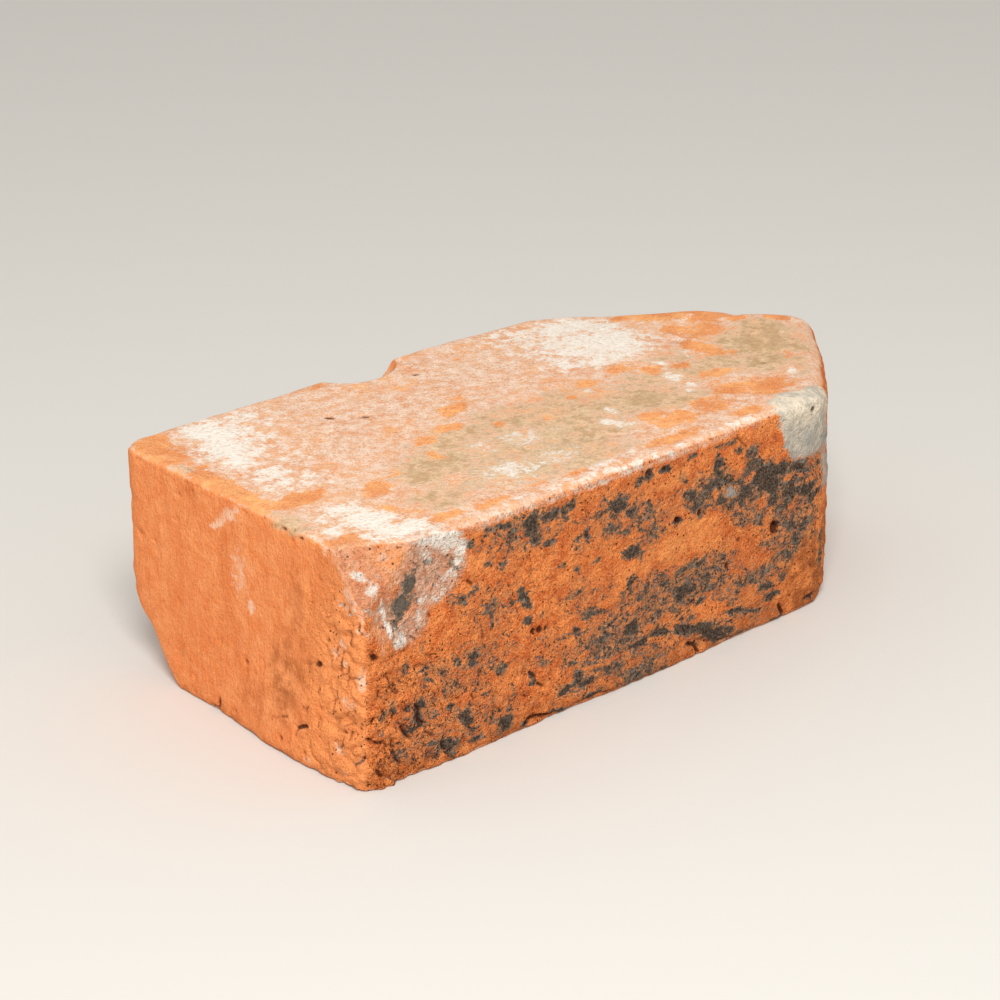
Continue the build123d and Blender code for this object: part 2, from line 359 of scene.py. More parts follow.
# Small hollows by depth: two places in the face, two half sizes, any tilt
FRONT_PITS = listed({
    2.2: [(157.8, 31.5, 1.5, 2.1, 15)],
    1.5: [(63, 28.9, 1, 1.3), (3.8, 40.2, 1.6, 0.9, -50)],
    1.3: [(116.4, 46.4, 1.7, 1.1, -20), (125.3, 46.2, 1, 1.1)],
    1.2: [(60.6, 29.2, 1.1, 1.1), (172.2, 66, 1.2, 0.9)],
    1.1: [(137.8, 25.4, 1.2, 1.2)],
    1: [(65.4, 28.6, 1.1, 1.2)],
    0.9: [(142.6, 32.2, 1.2, 1.1), (167, 28.6, 0.9, 0.9), (176.6, 26.6, 1, 1.3), (42.1, 33.5, 0.9, 0.8),
        (23.6, 46.2, 0.9, 0.8), (5.2, 4.6, 1.5, 0.8, -40), (104.4, 64.6, 1.6, 1.2)],
    0.8: [(150.2, 30.8, 0.9, 0.8), (3.6, 22, 0.9, 1.2, 10), (110.6, 64, 1.8, 0.9, -10)],
    0.7: [(18, 32.8, 0.8, 0.8), (91.4, 46.4, 0.7, 1.1), (154.6, 10.1, 0.9, 0.7)],
    0.6: [(26.3, 35, 0.7, 0.7), (80.4, 52.4, 1.2, 1.7), (178, 44, 1, 1)],
    0.5: [(88, 43.2, 1, 1.1), (49.4, 23, 0.7, 1), (133, 37, 1, 0.8), (44.6, 28.3, 0.7, 0.9)],
    0.4: [(98, 62.5, 1, 0.8)],
})
TOP_PITS = listed({
    1.8: [(57.2, 84.4, 1.2, 1.5, 20)],
    1: [(98.4, 94, 1.5, 1, 20), (2.4, 0.6, 1.4, 0.9, 20)],
    0.9: [(65.8, 78.4, 1.8, 1.5), (0.4, 29.4, 1, 0.9)],
    0.8: [(60.4, 10.3, 0.9, 0.8), (184.6, 31.4, 1.2, 1.4)],
    0.7: [(3.4, 52, 1, 0.8)],
    0.6: [(90.6, 55.4, 1.4, 0.8, 20), (110.6, 18.4, 3, 1, -30)],
    0.5: [(49.6, 74.6, 1.5, 0.8), (122.4, 87, 1.2, 0.9, 40), (127.8, 97, 1.6, 0.9, 40),
        (144.4, 96.6, 1.8, 1, 35), (119.4, 4.4, 3.4, 1.5, 20), (125.6, 8, 2.4, 1.6, 30), (178, 62.4, 3, 2.4),
        (4.4, 80, 0.8, 3)],
    0.4: [(47, 13.4, 4, 0.8, 10), (192, 36, 3.4, 2.4)],
    0.3: [(207, 59.6, 2.8, 2.2, 40), (26, 54, 2, 1.2, 10)],
})
END_PITS = listed({
    1.4: [(36, -0.6, 2.4, 1, -20)],
    1.3: [(19.4, 32.4, 1.5, 0.9, -30)],
    1.2: [(67.4, 0.4, 2, 0.9)],
    1: [(65.4, 3, 0.8, 2.4, 10)],
    0.9: [(15.4, 41, 0.9, 0.8), (2.4, 49.4, 0.9, 1), (34.4, 5, 1, 0.9), (1.6, 47.6, 0.8, 0.7),
        (4.2, 18.2, 0.8, 0.7), (26, 67, 1.4, 0.7, -20), (33.4, 67.4, 1.6, 0.8), (3.4, 20, 1.2, 0.8, -40),
        (0.6, 14, 1, 2, 20)],
    0.8: [(5.4, 53, 0.8, 0.8), (12, 54.6, 0.7, 0.6), (52, 21, 1.2, 1, 20), (9, 16, 1.2, 0.9)],
    0.7: [(15.6, 52.4, 0.8, 0.5, -30), (24, 4.4, 0.8, 1.3), (80.8, 62, 0.9, 0.8),
        (93.8, 43.6, 0.8, 0.7, -20), (25.2, 17.4, 1, 0.9), (29.6, 65.4, 0.8, 0.6), (42, 67.6, 0.8, 0.7),
        (50.4, 66.6, 0.8, 0.6), (74.4, 65.4, 0.8, 0.6), (57, 4, 0.8, 0.9), (18, 58, 0.8, 0.6),
        (1.6, 36.6, 1.2, 1.4)],
    0.6: [(40.2, 30, 0.8, 0.7), (31, 54.6, 0.7, 0.5), (12.4, 10.2, 0.8, 0.6, -30), (99, 67, 0.8, 0.7),
        (12.2, 19, 1.2, 1), (101, 44, 2, 1.4), (47.6, 19.2, 1, 0.6), (64, 22.6, 0.7, 1, 20),
        (22.4, 27, 0.8, 0.6), (72.4, 67.4, 0.8, 0.7), (76.8, 67, 0.8, 0.7)],
    0.5: [(38.6, 36.6, 0.7, 0.6), (51.4, 17.6, 0.8, 1.4), (82.6, 54.2, 0.7, 0.7), (90, 55.4, 0.8, 0.6),
        (64.6, 22.4, 0.8, 0.8, -40), (77, 7, 1.2, 1), (83.4, 12, 2.4, 3), (43.6, 24, 0.7, 0.6),
        (27.4, 41, 0.7, 0.6)],
    0.4: [(93.4, 41, 1.4, 0.8, 20), (83.2, 28, 0.9, 1.2)],
})

# Cracks and creases: depth, half width, then the line's places
FRONT_CRACKS = [
    (1.4, 0.6, (57.4, 1.6), (59, 2.8), (61.4, 2.6), (66, 1.2), (69.5, 0.2)),
    (0.6, 0.6, (39.4, 41.6), (41, 38.4), (42.2, 33.6)), (0.6, 0.6, (49.4, 50.4), (50.8, 47.2), (52.6, 44.6)),
    (0.9, 0.7, (36.8, 52), (38.4, 50.6)), (0.6, 0.6, (30.8, 49.6), (33.8, 47.8)),
    (0.7, 0.6, (14, 44.6), (14.6, 42.6)), (1, 0.6, (0.4, 16.4), (3, 15.4), (5.8, 14.2)),
    (1, 0.7, (13, 16.6), (14.4, 13.6), (15.8, 12)), (1, 0.6, (9.4, 14.2), (10, 11.4)),
    (1, 0.7, (4.4, 6.2), (6.6, 3.4)), (0.9, 0.6, (20.8, 12.2), (22, 11.6), (23.6, 9.8)),
    (0.9, 0.6, (10.4, 9.8), (11, 7.4), (12.8, 5.4)), (0.8, 0.6, (15.6, 5), (17.6, 3.4)),
    (0.8, 0.6, (21, 4.4), (24, 3.2)), (1, 0.7, (17.4, 21.6), (19.2, 19.6), (18.4, 17), (20.6, 15)),
    (0.7, 0.5, (5.4, 31), (9.6, 29.4)), (0.7, 0.5, (12.8, 37.6), (13.8, 39.4)),
    (1, 0.7, (62, 12.6), (64.4, 11)), (1, 0.8, (59.2, 17), (61, 15.2)),
    (0.6, 0.6, (66.4, 36.6), (67.2, 34.6)), (0.5, 0.6, (55.6, 51), (60.6, 46.4)),
    (1.2, 0.8, (121.6, 5.4), (124.8, 3.8), (126.4, 0.4)),
    (0.6, 0.6, (135.6, 44.6), (138.6, 41), (140.8, 37)),
    (0.6, 0.6, (146.8, 31.2), (149.6, 28.2), (152.4, 26)), (1.4, 0.8, (161.2, 4.8), (162.8, 1.8)),
    (0.9, 0.8, (172.6, 3.6), (177.4, 3.4)), (0.45, 0.7, (94, 11.6), (101, 12.6), (108, 13.8), (117, 12.2)),
    (0.45, 0.7, (120, 9.6), (128, 9.8)), (0.5, 0.7, (134, 10.2), (141, 10.2), (150, 7.8)),
    (0.7, 0.9, (125, 5.6), (132, 2.8), (139, 1.2)), (0.8, 0.8, (76, 0.8), (84, 1.6), (91, 0.6)),
    (0.6, 0.8, (38, 0.9), (46, 1.4), (53, 1.4)), (0.5, 0.7, (137, 64.2), (128, 64.8)),
    (0.8, 0.8, (141, 65), (144.6, 61.4)), (0.5, 0.7, (8, 2.4), (14, 1.4), (20, 1.4)),
]
TOP_CRACKS = [
    (0.3, 0.7, (119.4, 3), (121.6, 8), (124, 13.4)), (0.5, 0.7, (108, 20.4), (112, 17.6)),
    (0.5, 0.8, (81, 60.6), (88, 63.6)),
]
END_CRACKS = [
    (1.3, 0.7, (23.4, 12.6), (25.4, 11.8), (27.2, 10.6)), (0.8, 0.5, (27.2, 10.6), (28, 8)),
    (0.8, 0.6, (31.8, 12.4), (34.2, 11.4)), (0.6, 0.5, (35, 11.2), (37.6, 9.4)),
    (0.9, 0.6, (9, 39.4), (9.1, 34.2)), (0.8, 0.5, (6.3, 36.6), (6.6, 34), (7.4, 31)),
    (1, 0.6, (6, 47.4), (5.6, 45), (5.7, 43.2)), (0.9, 0.6, (0, 17.6), (0.8, 13), (2.2, 9.6), (5, 7.4)),
    (0.7, 0.5, (22.6, 31.4), (24.4, 30.6)), (0.8, 0.6, (23.4, 18.6), (24.2, 16.8)),
    (0.7, 0.5, (16, 2), (21, 5), (22, 9)), (0.5, 0.6, (22.6, 55), (22.2, 52.6), (21.4, 49.8)),
    (0.5, 0.6, (60.8, 70), (63, 68)), (0.6, 0.6, (25, 68.8), (30, 69)), (0.8, 0.6, (6.4, 16.8), (7, 14.2)),
]

# Round flakes lost from the arrises: along, across, up of the centre, radius
FLAKES = [
    (209, 67.5, 75.6, 8), (181, 103, 76, 8.6), (144, -5, 71, 8), (40, -5.5, 73, 8), (62.5, -6, -4.2, 7.4),
    (-6.6, 67.4, -3.4, 7.6), (-6.4, 36, -4.2, 7.4), (100, 116, 73, 8.4), (132, 117.4, 74, 10),
    (-6, 4, 20, 7.4), (-4.6, -4.8, 41, 7.4), (60, 117, 73, 9), (46, 116.4, 74.6, 9), (188, 2.6, -4, 8.6),
    (214, 26, -4.6, 9), (205, 84, -5, 9.4), (140, 116, -4.4, 9), (70, 116.2, -5, 9.4), (232, 50, 20, 5.6),
    (120, -6.2, -4.6, 8.4), (103, 106, 77.5, 9.5), (108, 116, 73.5, 9),
]


def within(a, b, spot, reach):
    """Which places lie near a tilted spot, and how far from its middle in half sizes."""
    x, y, half_a, half_b, tilt = spot
    c, s = math.cos(math.radians(tilt)), math.sin(math.radians(tilt))
    reach *= max(half_a, half_b)
    near = (abs(a - x) < reach) & (abs(b - y) < reach)
    u = ((a[near] - x) * c + (b[near] - y) * s) / half_a
    v = ((b[near] - y) * c - (a[near] - x) * s) / half_b
    return near, np.sqrt(u * u + v * v)


def cover(a, b, patches, ragged, soft=0.6):
    """How much the listed patches cover each place, 0 to 1, with ragged edges."""
    out = np.zeros(len(a))
    for *spot, amount in patches:
        near, far = within(a, b, spot, 2.2)
        edge = ramp(far + ragged[near], 1 - soft, 1 + soft)
        out[near] = np.maximum(out[near], amount * (1 - edge))
    return out


def pit_depth(a, b, pits):
    """How deep the listed hollows are at each place."""
    out = np.zeros(len(a))
    for *spot, depth in pits:
        near, far = within(a, b, spot, 3)
        out[near] = np.maximum(out[near], depth * np.exp(-(far**3)))
    return out


def crack_depth(a, b, cracks):
    """How deep the listed cracks are at each place."""
    out = np.zeros(len(a))
    for depth, half, *points in cracks:
        best = distance_to_line(a, b, points)
        out = np.maximum(out, depth * np.exp(-((best / half) ** 2)))
    return out


def distance_to_line(a, b, points):
    """Distance from each place to a line through points."""
    best = np.full(len(a), 99.0)
    for (x0, y0), (x1, y1) in zip(points, points[1:]):
        dx, dy = x1 - x0, y1 - y0
        t = np.clip(((a - x0) * dx + (b - y0) * dy) / (dx * dx + dy * dy), 0, 1)
        best = np.minimum(best, np.hypot(a - x0 - t * dx, b - y0 - t * dy))
    return best


def dense_copy():
    """A fine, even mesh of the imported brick."""
    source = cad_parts["brick"]
    piece = bpy.data.objects.new("fired_clay_brick", source.data.copy())
    bpy.context.scene.collection.objects.link(piece)
    piece.data.materials.clear()
    fine = piece.modifiers.new("fine", "REMESH")
    fine.mode = "VOXEL"
    fine.voxel_size = VOXEL
    fine.use_smooth_shade = True
    graph = bpy.context.evaluated_depsgraph_get()
    mesh = bpy.data.meshes.new_from_object(piece.evaluated_get(graph))
    piece.modifiers.clear()
    piece.data = mesh
    mesh.name = "fired_clay_brick"
    return piece


def read_places(mesh):
    """Vertex places as along, across, up in millimetres."""
    flat = np.empty(len(mesh.vertices) * 3, np.float32)
    mesh.vertices.foreach_get("co", flat)
    place = flat.reshape(-1, 3).astype(float) * 1000
    return place + (LENGTH / 2, WIDTH / 2, 0)


def write_places(mesh, place):
    """Puts places back on the mesh."""
    moved = (place - (LENGTH / 2, WIDTH / 2, 0)) / 1000
    mesh.vertices.foreach_set("co", moved.astype(np.float32).ravel())
    mesh.update()


def read_normals(mesh):
    """Vertex normals."""
    flat = np.empty(len(mesh.vertices) * 3, np.float32)
    mesh.vertices.foreach_get("normal", flat)
    return flat.reshape(-1, 3).astype(float)


HALF = math.sqrt(0.5)
# Each face: its outward direction, and its distance out from the corner at nought
SIDES = {
    "end": ((-1, 0, 0), 0.0),
    "front": ((0, -1, 0), 0.0),
    "rear": ((0, 1, 0), WIDTH),
    "front_slant": ((HALF, -HALF, 0), FRONT_SIDE * HALF),
    "rear_slant": ((HALF, HALF, 0), (REAR_SIDE + WIDTH) * HALF),
    "top": ((0, 0, 1), HEIGHT),
    "under": ((0, 0, -1), 0.0),
}


def past_lines(place, first, second, radius):
    """Outward directions of two faces, and how far past a line radius behind each."""
    n1, n2 = (np.array(SIDES[side][0], float) for side in (first, second))
    u = radius - (SIDES[first][1] - place @ n1)
    v = radius - (SIDES[second][1] - place @ n2)
    return n1, n2, u, v


def wear(place, first, second, radius):
    """Rounds the arris between two square faces to a radius given at each vertex."""
    n1, n2, u, v = past_lines(place, first, second, radius)
    reach = np.hypot(u, v)
    over = np.where((u > 0) & (v > 0), np.maximum(reach - radius, 0), 0)
    way = (u[:, None] * n1 + v[:, None] * n2) / np.maximum(reach, 1e-9)[:, None]
    return place - way * over[:, None]


def crisped(place, first, second, radius, power):
    """Squares up the rounded arris between two faces."""
    n1, n2, u, v = past_lines(place, first, second, radius)
    u, v = np.maximum(u, 0), np.maximum(v, 0)
    reach = np.maximum(np.hypot(u, v), 1e-9)
    square = ((u / reach) ** power + (v / reach) ** power + 1e-9) ** (-1 / power)
    grow = np.where((u > 0) & (v > 0), square - 1, 0)
    return place + (u[:, None] * n1 + v[:, None] * n2) * grow[:, None]


def worn_arrises(place):
    """Rounds every arris, unevenly as wear does."""
    place = crisped(place, "end", "top", 3.0, 4.0)
    uneven = 1.2 * fractal(place, 24, 301, 2) + 1.1 * fractal(place, 6, 302, 2)
    upper = {"end": 1.7, "front": 3.0, "rear": 3.0, "front_slant": 8.0, "rear_slant": 6.0}
    lower = {"end": 1.4, "front": 1.6, "rear": 2.4, "front_slant": 2.4, "rear_slant": 2.4}
    for side, radius in upper.items():
        place = wear(place, side, "top", np.maximum(radius + 0.8 * uneven, 1.0))
    for side, radius in lower.items():
        place = wear(place, side, "under", np.maximum(radius + 0.7 * uneven, 1.0))
    upright = 4.6 + uneven + 1.6 * (1 - ramp(place[:, 2], 2, 16))
    place = wear(place, "end", "front", np.maximum(upright, 2.5))
    return wear(place, "end", "rear", np.maximum(8.0 + 1.4 * uneven, 4.0))


# Gentle bulges and dents: along, across, up of the middle, reach, and how far it moves
SWELLS = [
    (0, 26, 2, 20, (-2.3, 0, 0)), (0, 46, 3, 15, (-1.2, 0, 0)), (3, 3, 1, 9, (0.1, 0.1, 0)),
    (40, 0, 0, 16, (0, -0.6, 0)), (96, 0, 2, 22, (0, -0.9, 0)), (128, 0, 3, 16, (0, -0.7, 0)),
    (178, 8, 22, 24, (0.8, -0.5, 0)), (203, 78, 67, 12, (1.2, 1.2, 1.1)), (110, 110, 67, 26, (0, 0.5, 0.3)),
    (166, 100, 68, 12, (0, 0, -0.6)), (2, 104, 26, 12, (0, 0.9, 0)), (8, 103, 13, 10, (1.8, -3.6, 0.9)),
    (214, 56, 68, 12, (0, 0, 0.9)), (224, 43, 60, 12, (-1.6, 0.4, 0)), (176, 97, 68, 10, (-0.5, -0.7, -0.6)),
    (148, 107, 68, 20, (0, -0.3, -0.5)), (183, 4, 58, 11, (-1.1, 0.3, 0)), (0, 60, 40, 26, (0.5, 0, 0)),
]


def bent(place):
    """The brick out of true, with the bulges and dents of hand moulding and wear."""
    total = np.zeros_like(place)
    for along, across, up, reach, way in SWELLS:
        far = np.linalg.norm(place - (along, across, up), axis=1)
        total += np.exp(-((far / reach) ** 2))[:, None] * np.array(way)
    return place + total


def lost_flakes(place):
    """Pushes the surface in where small flakes have gone from the arrises."""
    rough = 0.8 * fractal(place, 4, 311, 2)
    for x, y, z, radius in FLAKES:
        off = place - (x, y, z)
        far = np.linalg.norm(off, axis=1)
        hit = far < radius + rough
        push = off[hit] / far[hit, None] * (radius + rough - far)[hit, None]
        place[hit] += push
    return place


def face_shares(normal):
    """How far each vertex belongs to each face, from the smooth normals."""
    share = {}
    for side, (way, _) in SIDES.items():
        share[side] = ramp(normal @ np.array(way, float), 0.45, 0.8)
    return share


def crumbs(place, size, seed):
    """Rounded lumps with sharp creases between them, from 0 in a crease to 1."""
    return np.minimum(np.abs(fractal(place, size, seed, 3, 0.55)) * 2.6, 1)


def shape_relief(place, share, layers):
    """How far the surface stands out or in along its normals, without the hollows."""
    along, across, up = place.T
    out = 0.4 * fractal(place, 42, 321, 2)
    sand = 0.15 * fractal(place, 2.6, 320, 2, 0.8)
    out += share["front"] * (0.26 * fractal(place, (7, 5, 4), 322, 4, 0.6) + sand)
    out += share["front"] * (0.1 + 0.4 * layers["rugged"]) * (crumbs(place, (8, 6, 6), 361) - 0.5)
    folds = fractal(place, (20, 9, 2.8), 323, 2)
    out += share["front"] * 0.5 * folds * ramp(-up, -20, -4) * ramp(along, 60, 100)
    rough_end = share["end"] * (1 - layers["smooth"])
    out += (0.08 * share["end"] + 0.2 * rough_end) * fractal(place, (5, 4, 5), 324, 3, 0.6)
    out += rough_end * (0.36 * (crumbs(place, (7, 4, 7), 362) - 0.5) + 0.9 * sand)
    near_corner = (1 - ramp(along, 8, 24)) * (1 - ramp(across, 8, 24)) * (1 - ramp(up, 48, 58))
    out += near_corner * (1.2 * (crumbs(place, (8, 8, 6), 363) - 0.62) + 1.2 * sand)
    out += share["end"] * 0.04 * fractal(place, (4, 1.9, 26), 325, 1)
    out += share["top"] * 0.14 * fractal(place, (8, 5, 5), 326, 4, 0.65)
    hidden = share["rear"] + share["front_slant"] + share["rear_slant"] + share["under"]
    out += np.clip(hidden, 0, 1) * (0.24 * fractal(place, 6, 327, 3, 0.6) + sand)
    arris = 1 - np.clip(sum(share.values()), 0, 1)
    out += arris * (0.5 * fractal(place, 3.6, 328, 3, 0.6) + 1.3 * sand)
    chalk = 0.3 + 0.5 * fractal(place, 3, 341, 2)
    out += 0.18 * np.clip(layers["lime"], 0, 1) * chalk
    thin = 1 - 0.6 * ramp(along, 174, 180)
    out += layers["mortar"] * thin * (0.7 + 0.5 * fractal(place, 6.0, 342, 4, 0.65))
    return out + layers["broken"] * 0.45 * fractal(place, 5.0, 343, 3, 0.6)


def near_face(place, side, reach):
    """One at a face and nought deeper than reach behind it."""
    way, distance = SIDES[side]
    behind = distance - place @ np.array(way, float)
    return 1 - ramp(behind, reach * 0.5, reach)


def scattered(seed, count, span_a, span_b, small, large, least, most):
    """Seeded patches or pits for a face that the photograph doesn't show."""
    rng = np.random.default_rng(seed)
    out = []
    for _ in range(count):
        half = rng.uniform(small, large)
        spot = rng.uniform(*span_a), rng.uniform(*span_b), half, half * rng.uniform(0.45, 0.9)
        out.append((*spot, rng.uniform(-40, 40), rng.uniform(least, most)))
    return out


def soot_layer(place, share, reads, ragged):
    """Soot, most of it on the front face, and in seeded spots on the hidden faces."""
    along, across, up, from_front, from_rear = reads
    drawn_a = along + 1.3 * fractal(place, 3.4, 351, 2, 0.7)
    drawn_b = up + 1.1 * fractal(place, 3.0, 352, 2, 0.7)
    soot = cover(drawn_a, drawn_b, FRONT_SOOT, ragged)
    bare = cover(along, up, FRONT_BARE, ragged)
    soot = np.maximum(soot, 0.07 + 0.05 * fractal(place, 14, 334, 2)) * (1 - 0.85 * bare)
    rear = scattered(7, 46, (8, 168), (3, 66), 2, 9, 0.4, 0.9)
    front_slant = scattered(8, 16, (4, 70), (3, 62), 2, 7, 0.4, 0.9)
    rear_slant = scattered(9, 18, (4, 82), (3, 62), 2, 7, 0.4, 0.9)
    under = scattered(10, 12, (12, 190), (8, 100), 3, 12, 0.2, 0.5)
    hidden = (
        ("rear", along, up, rear, 0.16 + 0.12 * fractal(place, 18, 335, 2), 0.85),
        ("front_slant", from_front, up, front_slant, 0.12, 0.85),
        ("rear_slant", from_rear, up, rear_slant, 0.12, 0.85),
        ("under", along, across, under, 0.06, 1.0),
    )
    total = share["front"] * soot
    for side, a, b, spots, least, strength in hidden:
        total += share[side] * np.maximum(cover(a, b, spots, ragged), least) * strength
    return total


def mortar_layer(place, share, reads, ragged):
    """The smear of mortar round the upper front corner before the nose."""
    along, across, up, _, _ = reads
    smear = ramp(along, 155.5, 161.0) * ramp(up, 46.0, 55.0) * near_face(place, "front", 9)
    cut = ramp(along - 157.5 - (61 - up) * 0.62, -3.0, 3.5)
    smear *= np.maximum(cut, ramp(up, 60, 63)) * (1 - ramp(along, 179, 184))
    on_top = cover(along, across, [(166.5, 2.6, 9.0, 6.0, -6, 1.0)], ragged)
    sliver = ramp(along, 178.0, 180.5) * (1 - ramp(along, 184, 188)) * ramp(up, 34, 40)
    sliver *= near_face(place, "front", 10) * 0.7
    spot = cover(along, up, [(138, 48.8, 3.4, 2.2, -15, 0.42)], 0.5 * ragged)
    layer = np.maximum(smear, np.maximum(share["top"] * on_top, sliver))
    return np.clip(np.maximum(layer, share["front"] * spot), 0, 1)


def lime_layer(place, share, reads, ragged):
    """White lime on the top, the front arris, the broken corner and hidden faces."""
    along, across, up, _, _ = reads
    lime = share["top"] * cover(along, across, TOP_LIME, ragged, 0.9)
    edge = near_face(place, "front", 3.6) * near_face(place, "top", 3.2)
    stretch = 0.2 + 0.3 * ramp(along, 60, 72) * (1 - ramp(along, 112, 124))
    stretch *= ramp(along, 30, 40) * (1 - ramp(along, 146, 154))
    lime = np.maximum(lime, edge * stretch * (0.9 + 1.3 * fractal(place, (12, 4, 3), 350, 3)))
    corner = cover(along, up, CORNER_LIME, 0.6 * ragged, 0.8)
    corner *= near_face(place, "front", 14) * (1 - 0.8 * share["top"])
    lime = np.maximum(lime, corner)
    rear = cover(along, up, scattered(12, 9, (10, 165), (20, 68), 3, 9, 0.4, 0.9), ragged)
    under = scattered(13, 14, (8, 200), (6, 104), 4, 16, 0.4, 0.9)
    under = cover(along, across, under, ragged, 0.5)
    return lime + share["rear"] * 0.5 * rear + share["under"] * 0.7 * under


def broken_places(place, reads):
    """How far each vertex lies on the broken front corner, 0 to 1."""
    along, across, up, _, _ = reads
    lost_along, lost_across, lost_down = CORNER_LOST
    slope = (lost_along - along) / lost_along - across / lost_across + (up - HEIGHT) / lost_down
    corner = ramp(slope, -0.25, 0.0) * ramp(-along, -30, -20) * ramp(-across, -18, -12)
    upper = np.hypot(along - UPPER_HOLLOW[0], (up - UPPER_HOLLOW[1]) * 1.15)
    lower = np.hypot((along - LOWER_HOLLOW[0]) * 1.2, up - LOWER_HOLLOW[1])
    flake = np.maximum(1 - ramp(upper, 12.0, 14.5), 1 - ramp(lower, 9.0, 12.0))
    flake *= near_face(place, "front", 10)
    orange = cover(along, up, CORNER_ORANGE, np.zeros(len(along)))
    return np.clip(np.maximum(0.5 * corner, flake), 0, 1) * (1 - orange)


def creases(seed, count, span_a, span_b):
    """Seeded short creases, most of them leaning down to the right."""
    rng = np.random.default_rng(seed)
    out = []
    for _ in range(count):
        lean = math.radians(rng.choice((-38, -75)) + rng.uniform(-14, 14))
        a, b = rng.uniform(*span_a), rng.uniform(*span_b)
        step = rng.uniform(0.8, 2.2)
        turn = rng.uniform(-0.5, 0.5)
        c = a + step * math.cos(lean), b + step * math.sin(lean)
        d = c[0] + step * math.cos(lean + turn), c[1] + step * math.sin(lean + turn)
        out.append((rng.uniform(0.4, 0.9), rng.uniform(0.35, 0.55), (a, b), c, d))
    return out


def hollow_depth(share, reads):
    """How deep the pits and cracks are at each vertex."""
    along, across, up, from_front, from_rear = reads
    front_creases = creases(31, 60, (1, 60), (1, 24)) + creases(32, 26, (2, 24), (24, 44))
    end_creases = creases(33, 40, (1, 20), (3, 58))
    hollows = [
        ("front", along, up, FRONT_PITS, FRONT_CRACKS + front_creases),
        ("top", along, across, TOP_PITS, TOP_CRACKS),
        ("end", across, up, END_PITS, END_CRACKS + end_creases),
    ]
    hidden = (
        ("rear", along, up, 21, 34, (8, 165), (4, 64)),
        ("under", along, across, 22, 50, (8, 200), (6, 104)),
        ("front_slant", from_front, up, 23, 14, (4, 70), (4, 62)),
        ("rear_slant", from_rear, up, 24, 16, (4, 82), (4, 62)),
    )
    for side, a, b, seed, count, span_a, span_b in hidden:
        pits = scattered(seed, count, span_a, span_b, 0.7, 1.5, 0.5, 1.6)
        hollows.append((side, a, b, pits, []))
    depth = np.zeros(len(along))
    for side, a, b, pits, cracks in hollows:
        deepest = np.maximum(pit_depth(a, b, pits), crack_depth(a, b, cracks))
        depth = np.maximum(depth, share[side] * deepest)
    return depth


def top_layers(place, share, reads, ragged, broad):
    """Dust, olive film and bare clay on the top, and dust on the arrises beside it."""
    along, across, up, _, _ = reads
    top = share["top"]
    dusty = 0.72 + 0.2 * fractal(place, 16, 336, 3, 0.6)
    veil = np.maximum(cover(along, across, TOP_VEIL, broad, 0.6), dusty)
    dusty_corner = 0.5 * cover(along, up, CORNER_ORANGE, ragged) * (1 - top)
    dusty_corner *= near_face(place, "front", 14)
    arris = near_face(place, "front", 4) * near_face(place, "top", 4) * ramp(along, 32, 42)
    arris *= (1 - ramp(along, 148, 156)) * (0.5 + 0.5 * fractal(place, (14, 3, 2), 338, 3))
    ledge = near_face(place, "end", 7) * near_face(place, "top", 4) * ramp(across, 16, 24)
    ledge *= cover(across, across, [(33, 33, 11, 11, 0, 0.65), (81, 81, 5, 5, 0, 0.5)], broad)
    olive = top * cover(along, across, TOP_OLIVE, broad, 0.8)
    bright = share["front"] * cover(along, up, FRONT_GLOW, ragged, 0.6)
    return {
        "veil": np.maximum(np.maximum(top * veil, arris), dusty_corner) + share["under"] * 0.4,
        "olive": np.maximum(olive, ledge),
        "bare": top * cover(along, across, TOP_BARE, broad, 0.8) * (1 - ledge),
        "glow": bright + 1.6 * dusty_corner,
        "flat_top": top,
    }


def side_layers(place, share, reads, ragged, broad):
    """Scuffs, brown stains, painted shade low near the floor, and how smooth or crumbly the square end is.
    """
    along, across, up, _, _ = reads
    end = share["end"]
    # Brown places on the end, and painted shade in a band low on the end near the floor
    brown = end * np.maximum(cover(across, up, END_BROWN, broad, 0.6), 0.4 * (1 - ramp(up, 0, 6)))
    dull = 0.9 * ramp(along, 156, 167) * (1 - ramp(up, 20, 34))
    wander = 8 * fractal(place, 18, 337, 3, 0.6) + 9 * ramp(up, 48, 62)
    smooth = end * ramp(across + wander, 12, 32) * (0.7 + 0.3 * ramp(up, 0, 8))
    return {
        "pale": end * cover(across, up, END_PALE, ragged),
        # Painted shade low on the front face near the floor, and a dull brown patch low toward the nose
        "brown": brown + share["front"] * np.maximum(0.6 * (1 - ramp(up, 1, 13)), dull),
        "smooth": smooth,
        "crumb": end * (1 - smooth),
    }


def rugged_places(share, reads, layers):
    """How rugged the clay is, most of all low on the front face beside the square end."""
    along, _, up, _, _ = reads
    end = share["end"]
    near_low = (1 - ramp(along, 16, 58)) * (1 - ramp(up, 22, 42))
    rugged = share["front"] * (0.34 + 0.66 * near_low)
    rugged += 0.12 * (end - layers["smooth"]) + 0.04 * end
    rugged += share["top"] * 0.25 * (1 - ramp(along, 60, 110))
    rugged += 0.5 * (share["rear"] + share["under"])
    rugged += 0.6 * (1 - np.clip(sum(share.values()), 0, 1))
    return rugged * (1 - 0.7 * layers["glow"])


